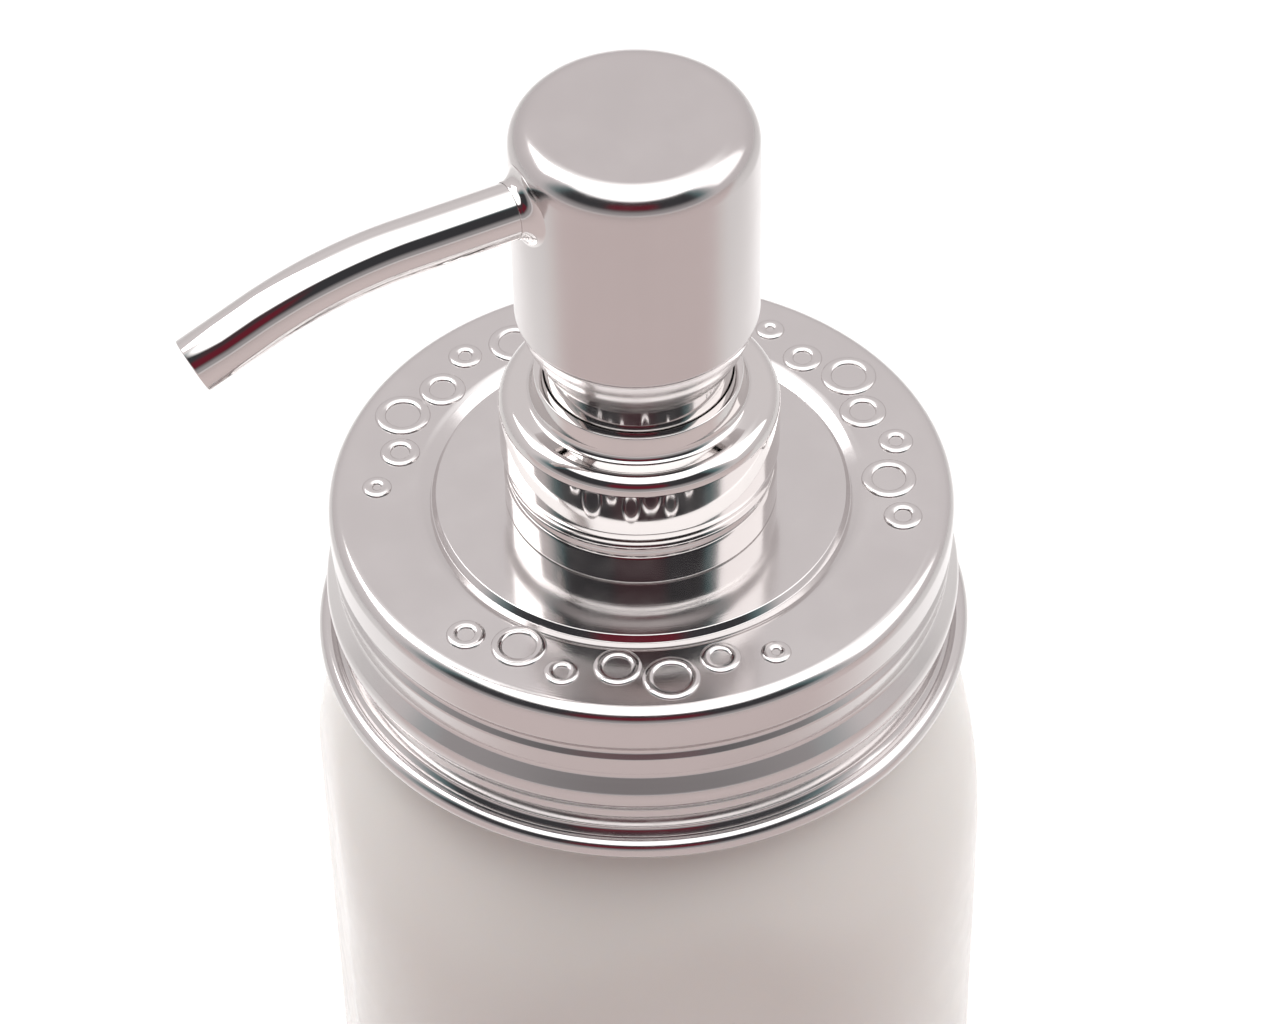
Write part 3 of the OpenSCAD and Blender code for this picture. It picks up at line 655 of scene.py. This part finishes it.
# %% [markdown]
# ## The head
# The head is a deep-drawn cup with a rounded top edge, and a second pressing closes it from below: a short
# skirt that curves in to the sleeve. A single shape would hide the seam that runs round the widest level, so
# they are two pieces, each with its own rolled corner there.

# %% Turn the cup
HEAD_SHEET = 0.8
HEAD_EDGE = 3.3

cup_outline = [(0, z_top)] + arc(head_r - HEAD_EDGE, z_top - HEAD_EDGE, HEAD_EDGE, 90, 0, 18)
cup_outline += [(head_r, z_body, 0.18), (head_r - HEAD_SHEET, z_body, 0.1)]
cup_outline += arc(head_r - HEAD_EDGE, z_top - HEAD_EDGE, HEAD_EDGE - HEAD_SHEET, 0, 90, 10)
cup_outline += [(0, z_top - HEAD_SHEET)]
piece("drawn_head_cup", turned(cup_outline, closed=False), "head_body", "head_shell", "satin_steel")

# %% Turn the skirt
SKIRT_BULGE = 0.25
SKIRT_EDGE = 0.25
SPIGOT = 2.0

skirt_in = sleeve_r + 0.1
skirt_low = skirt_in + SKIRT_EDGE
cup_in = head_r - HEAD_SHEET


def skirt_r(share):
    """Outside radius of the skirt at a share of its height."""
    return skirt_low + (head_r - skirt_low) * share + SKIRT_BULGE * math.sin(math.pi * share)


def skirt_z(share):
    """Level at a share of the skirt's height."""
    return z_head + (z_body - z_head) * share


rise = [i / 14 for i in range(15)]
skirt_outline = [(skirt_in, z_head, 0.06)] + [(skirt_r(t), skirt_z(t)) for t in rise]
skirt_outline[-1] += (0.15,)
skirt_outline += [(cup_in, z_body), (cup_in, z_body + SPIGOT), (cup_in - HEAD_SHEET, z_body + SPIGOT)]
skirt_outline += [(skirt_r(t) - HEAD_SHEET * (1 + t), skirt_z(t)) for t in rise[:4:-1]]
skirt_outline += [(skirt_in, z_head + 1)]
piece("head_skirt_cone", turned(skirt_outline), "head_body", "head_skirt", "satin_steel")

# %% [markdown]
# ## The spout
# The spout is a thin steel tube, bent down and cut square, with a soft plastic tube inside that carries the
# soap. It could be a curve with a round bevel. A circle that is extruded, spun through the bend and extruded
# again is the same path as a tube bender takes, and leaves even rings for the reflections.

# %% Bend the spout
BEND_R = 45.0
BEND = math.radians(22)
SPOUT_STRAIGHT = 27.0
SPOUT_TAIL = 8.1
RING = 64

spout_root = -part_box("spout_tube")[1][1] / MM


def extrude_loop(bm, edges, move):
    """Extrude a loop of edges and shift it. Returns the new loop."""
    done = bmesh.ops.extrude_edge_only(bm, edges=edges)["geom"]
    verts = [g for g in done if isinstance(g, bmesh.types.BMVert)]
    bmesh.ops.translate(bm, vec=move, verts=verts)
    return [g for g in done if isinstance(g, bmesh.types.BMEdge) and all(v in verts for v in g.verts)]


def bent_tube(r, start, tail):
    """The outside of a tube that runs out along -Y, bends down and ends straight."""
    bm = bmesh.new()
    bmesh.ops.create_circle(bm, cap_ends=False, radius=r, segments=RING,
                            matrix=Matrix.Translation((0, -start, z_spout)) @ Matrix.Rotation(math.pi / 2, 4, "X"))
    loop = bm.edges[:]
    for _ in range(4):
        loop = extrude_loop(bm, loop, (0, -(SPOUT_STRAIGHT - start) / 4, 0))
    verts = list({v for e in loop for v in e.verts})
    done = bmesh.ops.spin(bm, geom=verts + loop, cent=(0, -SPOUT_STRAIGHT, z_spout - BEND_R), axis=(1, 0, 0),
                          dvec=(0, 0, 0), angle=BEND, steps=24, use_merge=False, use_normal_flip=False,
                          use_duplicate=False)
    loop = [g for g in done["geom_last"] if isinstance(g, bmesh.types.BMEdge)]
    down = Vector((0, -math.cos(BEND), -math.sin(BEND)))
    for _ in range(2):
        loop = extrude_loop(bm, loop, down * tail / 2)
    bmesh.ops.remove_doubles(bm, verts=bm.verts[:], dist=0.0005)
    bmesh.ops.recalc_face_normals(bm, faces=bm.faces[:])
    return bm


def outward(bm):
    """Flip an open tube whose faces look inwards."""
    bm.faces.ensure_lookup_table()
    face = bm.faces[0]
    if face.normal.dot(face.calc_center_median() - Vector((0, face.calc_center_median().y, z_spout))) < 0:
        bmesh.ops.reverse_faces(bm, faces=bm.faces[:])


def walled(made, wall, soft):
    """Give an open tube its wall and a soft cut edge."""
    shell = made.modifiers.new("wall", "SOLIDIFY")
    shell.thickness = wall * MM
    shell.offset = -1
    shell.use_even_offset = True
    edge = made.modifiers.new("cut_edge", "BEVEL")
    edge.width = soft * MM
    edge.segments = 3
    edge.limit_method = "ANGLE"
    edge.angle_limit = math.radians(60)


bm = bent_tube(spout_r, spout_root, SPOUT_TAIL)
outward(bm)
spout = piece("bent_spout", bm, "head_body", "spout_tube", "polished_steel", weighted=False)
walled(spout, 0.5, 0.14)

LINER_SHORT = 1.5
bm = bent_tube(spout_r - 0.5, spout_root, SPOUT_TAIL - LINER_SHORT)
outward(bm)
liner = piece("spout_liner_tube", bm, "head_body", "spout_liner", "tube_plastic", weighted=False)
walled(liner, 0.55, 0.12)

# %% [markdown]
# The spout leaves the head through a short flared neck, drawn out of the cup. The flare is turned about the
# spout's own axis. A turned flare has a flat foot, and the cup is round, so each foot vertex is drawn back
# onto the cup, and less the further out it lies.

# %% Turn the flared neck
FLARE = 1.5
NECK_OUT = 1.3
NECK_SHEET = 0.12
x_end = head_r + NECK_OUT
neck_r = spout_r + NECK_SHEET

neck_outline = [(spout_r + 0.03, head_r - 1.6), (neck_r + FLARE, head_r - 1.6)]
neck_outline += arc(neck_r + FLARE, head_r - 0.02 + FLARE * 0.8, FLARE * 0.8, 270, 190, 12)
neck_outline = [(r if i < 2 else r - (FLARE * 0.2 * (i - 2) / 12), x) for i, (r, x) in enumerate(neck_outline)]
neck_outline += [(neck_r, x_end - 0.1), (neck_r - 0.05, x_end, 0.02), (spout_r + 0.03, x_end, 0.02)]
bm = turned(neck_outline, steps=96)
for vert in bm.verts:
    share = min(1, max(0, (x_end - vert.co.z) / NECK_OUT))
    vert.co.z -= (head_r - math.sqrt(head_r ** 2 - vert.co.x ** 2)) * share
bmesh.ops.transform(bm, verts=bm.verts[:],
                    matrix=Matrix.Translation((0, 0, z_spout)) @ Matrix.Rotation(math.pi / 2, 4, "X"))
piece("spout_flare", bm, "head_body", "spout_ferrule", "polished_steel", sharp=50)

# %% [markdown]
# ## The pump works
# Inside the jar hangs a plastic pump: a housing with the piston and the return spring, two steel valve balls,
# and a dip tube down to the jar's floor. The plain turned parts are exact already and keep their CAD shape.
# The spring and the dip tube gain from mesh work: a real spring has closed end coils, and the tube is cut at a
# slant. The spring could be a curve with a bevel, but a spin with a rise changes its pitch cleanly at each end.
# It spans two bodies, so it is given no body of its own.

# %% Wind the return spring
WIRE = 0.9
COILS = 6
spring_low = bottom("return_spring")
spring_high = top("return_spring")
coil_r = radius("return_spring") - WIRE / 2
wire_section = [(WIRE / 2 * math.cos(a), WIRE / 2 * math.sin(a)) for a in
                [math.radians(30 * i) for i in range(12)]]

bm = bmesh.new()
closed_rise = WIRE * 1.02
open_rise = (spring_high - spring_low - WIRE - 2 * closed_rise) / (COILS - 2)
per_turn = 48
verts = [bm.verts.new((coil_r + x, 0, spring_low + WIRE / 2 + z)) for x, z in wire_section]
edges = [bm.edges.new((a, b)) for a, b in zip(verts, verts[1:] + verts[:1])]
bm.faces.new(verts)
for turns, rise_per_turn in ((1, closed_rise), (COILS - 2, open_rise), (1, closed_rise)):
    done = bmesh.ops.spin(bm, geom=verts + edges, cent=(0, 0, 0), axis=(0, 0, 1),
                          dvec=(0, 0, rise_per_turn / per_turn), angle=2 * math.pi * turns,
                          steps=per_turn * turns, use_merge=False, use_normal_flip=False, use_duplicate=False)
    verts = [g for g in done["geom_last"] if isinstance(g, bmesh.types.BMVert)]
    edges = [g for g in done["geom_last"] if isinstance(g, bmesh.types.BMEdge)]
bmesh.ops.contextual_create(bm, geom=edges)
bmesh.ops.remove_doubles(bm, verts=bm.verts[:], dist=0.0005)
bmesh.ops.recalc_face_normals(bm, faces=bm.faces[:])
spring = piece("wire_spring", bm, None, "return_spring", "spring_steel", weighted=False)
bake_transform(spring)

# %% Cut the dip tube
DIP_WALL = 1.0
SLANT = math.radians(40)
dip_r = radius("dip_tube")
dip_low = bottom("dip_tube")
dip_high = top("dip_tube")

bm = bmesh.new()
bmesh.ops.create_circle(bm, cap_ends=False, radius=dip_r, segments=48, matrix=Matrix.Translation((0, 0, dip_low)))
loop = bm.edges[:]
for _ in range(24):
    loop = extrude_loop(bm, loop, (0, 0, (dip_high - dip_low) / 24))
tip_side = Vector((0, -math.sin(SLANT), math.cos(SLANT)))
bmesh.ops.bisect_plane(bm, geom=bm.verts[:] + bm.edges[:] + bm.faces[:],
                       plane_co=(0, -dip_r, dip_low), plane_no=tip_side, clear_inner=True)
bmesh.ops.recalc_face_normals(bm, faces=bm.faces[:])
bm.faces.ensure_lookup_table()
first = bm.faces[0]
if first.normal.dot(Vector((*first.calc_center_median().xy, 0))) < 0:
    bmesh.ops.reverse_faces(bm, faces=bm.faces[:])
dip = piece("dip_straw", bm, "lid_body", "dip_tube", "tube_plastic", weighted=False)
walled(dip, DIP_WALL, 0.15)

# %% [markdown]
# ## The steels
# Stainless steel differs here only in how far it was polished. The mirror parts have a roughness near 0.05,
# with faint wiping smears and the slow waviness that drawing leaves in a wall. The lid was polished on a
# lathe, so it has fine lines round the axis. The head has a satin finish with a clouded grain. The colour
# barely varies, and the roughness does the work. An image of scratches would slide over the edges, so every
# pattern is noise in the piece's own space.

# %% Helper for steel
def steel(name, colour, rough_low, rough_high, lines=0.0, grain=0.0, wave=0.3, smear_mm=9.0):
    """Polished stainless steel: smears in its roughness, slow waviness, lathe lines and satin grain."""
    made, tree, shader, place = new_material(name)
    smear = noise(tree, place, smear_mm, 5, roughness=0.6)
    worn = noise(tree, place, smear_mm / 5, 3)
    tint = blend_colour(tree, smear, [c * 0.95 for c in colour], colour)
    tree.links.new(tint, shader.inputs["Base Color"])
    shader.inputs["Metallic"].default_value = 1.0
    mixed = math_node(tree, "MULTIPLY", smear, math_node(tree, "ADD", worn, 0.5))
    tree.links.new(ramp(tree, mixed, 0.25, 0.75, rough_low, rough_high), shader.inputs["Roughness"])
    normal = bump(tree, noise(tree, place, 22, 1), 1.0, wave * 0.1)
    if lines:
        flat = add(tree, "ShaderNodeVectorMath", {"operation": "MULTIPLY"}, N0=place, N1=(1, 1, 0)).outputs[0]
        far = add(tree, "ShaderNodeVectorMath", {"operation": "LENGTH"}, N0=flat).outputs["Value"]
        rise = add(tree, "ShaderNodeSeparateXYZ", Vector=place).outputs["Z"]
        across_face = math_node(tree, "MULTIPLY", far, 5200)
        groove = math_node(tree, "ADD", across_face, math_node(tree, "MULTIPLY", rise, 4100))
        line = add(tree, "ShaderNodeTexNoise", {"noise_dimensions": "1D"}, W=groove, Scale=1.0, Detail=3.0)
        normal = bump(tree, line.outputs["Fac"], lines, 0.01, normal)
    if grain:
        speck = noise(tree, place, 0.35, 2, stretch=(1, 1, 0.35))
        normal = bump(tree, speck, grain, 0.01, normal)
    tree.links.new(normal, shader.inputs["Normal"])
    return made


polished = steel("polished_steel", (0.72, 0.695, 0.685), 0.03, 0.08, lines=0.02)
lid_finish = steel("lid_steel", (0.67, 0.645, 0.64), 0.10, 0.18, lines=0.18, wave=1.6, smear_mm=16)
satin = steel("satin_steel", (0.64, 0.61, 0.605), 0.12, 0.20, grain=0.12, wave=0.15)
wire_steel = steel("spring_steel", (0.60, 0.60, 0.61), 0.18, 0.30, grain=0.3, smear_mm=3)
ball_steel = steel("ball_steel", (0.70, 0.70, 0.71), 0.04, 0.10, wave=0.0, smear_mm=2)

# %% [markdown]
# ## The milk glass
# White glass is cloudy all through, so light goes a little way in and comes out beside where it entered. That
# softens every shadow on it, which a plain white paint would not do. A clear coat gives the fire-polished
# skin, and a slow bump gives the ripple that a mould leaves.

# %% Finish the jar
glass, tree, shader, place = new_material("jar_glass")
cloud = noise(tree, place, 24, 3)
body = blend_colour(tree, cloud, (0.765, 0.74, 0.705), (0.805, 0.785, 0.75))
tree.links.new(body, shader.inputs["Base Color"])
tree.links.new(ramp(tree, noise(tree, place, 5, 4), 0.3, 0.7, 0.16, 0.26), shader.inputs["Roughness"])
shader.inputs["Subsurface Weight"].default_value = 0.35
shader.inputs["Subsurface Radius"].default_value = (1.0, 0.8, 0.65)
shader.inputs["Subsurface Scale"].default_value = 0.004
shader.inputs["Coat Weight"].default_value = 0.15
shader.inputs["Coat Roughness"].default_value = 0.06
normal = bump(tree, noise(tree, place, 18, 2), 0.25, 0.25)
normal = bump(tree, noise(tree, place, 1.2, 2), 0.06, 0.02, normal)
tree.links.new(normal, shader.inputs["Normal"])

# %% [markdown]
# ## The plastics and the seals
# The works are moulded in natural polypropylene, which is a cloudy off-white with a fine spark-eroded texture
# on it. The tubes are extruded, so they carry faint lines along their length. The silicone rings are soft and
# powdery, and the black seal has a slight sheen of grease.

# %% Helper for plastics
def plastic(name, colour, rough, speck_mm, texture, milky=0.0, stretch=(1, 1, 1), gloss=0.0):
    """Moulded or extruded plastic, or a rubber: mottled colour, fine texture and some light inside."""
    made, tree, shader, place = new_material(name)
    mottle = noise(tree, place, 6, 4, stretch)
    fine = noise(tree, place, speck_mm, 3, stretch)
    tree.links.new(blend_colour(tree, mottle, [c * 0.93 for c in colour], colour), shader.inputs["Base Color"])
    tree.links.new(ramp(tree, fine, 0.25, 0.75, rough - 0.06, rough + 0.08), shader.inputs["Roughness"])
    shader.inputs["Subsurface Weight"].default_value = milky
    shader.inputs["Subsurface Radius"].default_value = (1.0, 1.0, 0.95)
    shader.inputs["Subsurface Scale"].default_value = 0.0015
    shader.inputs["Coat Weight"].default_value = gloss
    shader.inputs["Coat Roughness"].default_value = 0.2
    tree.links.new(bump(tree, fine, texture, 0.03), shader.inputs["Normal"])
    return made


pump_plastic = plastic("pump_plastic", (0.84, 0.84, 0.81), 0.42, 0.25, 0.25, milky=0.25)
cap_plastic = plastic("cap_plastic", (0.20, 0.20, 0.205), 0.45, 0.20, 0.35)
piston_plastic = plastic("piston_plastic", (0.90, 0.90, 0.87), 0.36, 0.4, 0.12, milky=0.3)
tube_plastic = plastic("tube_plastic", (0.86, 0.86, 0.84), 0.30, 0.3, 0.15, milky=0.35, stretch=(1, 1, 0.06))
silicone = plastic("seal_silicone", (0.83, 0.83, 0.80), 0.62, 0.15, 0.2, milky=0.2)
nitrile = plastic("seal_rubber", (0.025, 0.025, 0.028), 0.50, 0.12, 0.25, gloss=0.15)

# %% Put each finish on its pieces
FINISH = {"jar_glass": glass, "lid_steel": lid_finish, "polished_steel": polished, "satin_steel": satin,
          "spring_steel": wire_steel, "ball_steel": ball_steel, "pump_plastic": pump_plastic,
          "cap_plastic": cap_plastic, "piston_plastic": piston_plastic, "tube_plastic": tube_plastic,
          "seal_silicone": silicone, "seal_rubber": nitrile}
slot_of = {part["node"]: part["material_slot"] for part in frame["record"]["subparts"]}
for made, slot in pieces:
    made.data.materials.clear()
    made.data.materials.append(FINISH[slot])
for node, made in frame["nodes"].items():
    for material_slot in made.material_slots:
        material_slot.material = FINISH[slot_of[node]]
print("finishes:", len(FINISH), "nodes finished:", len(slot_of))
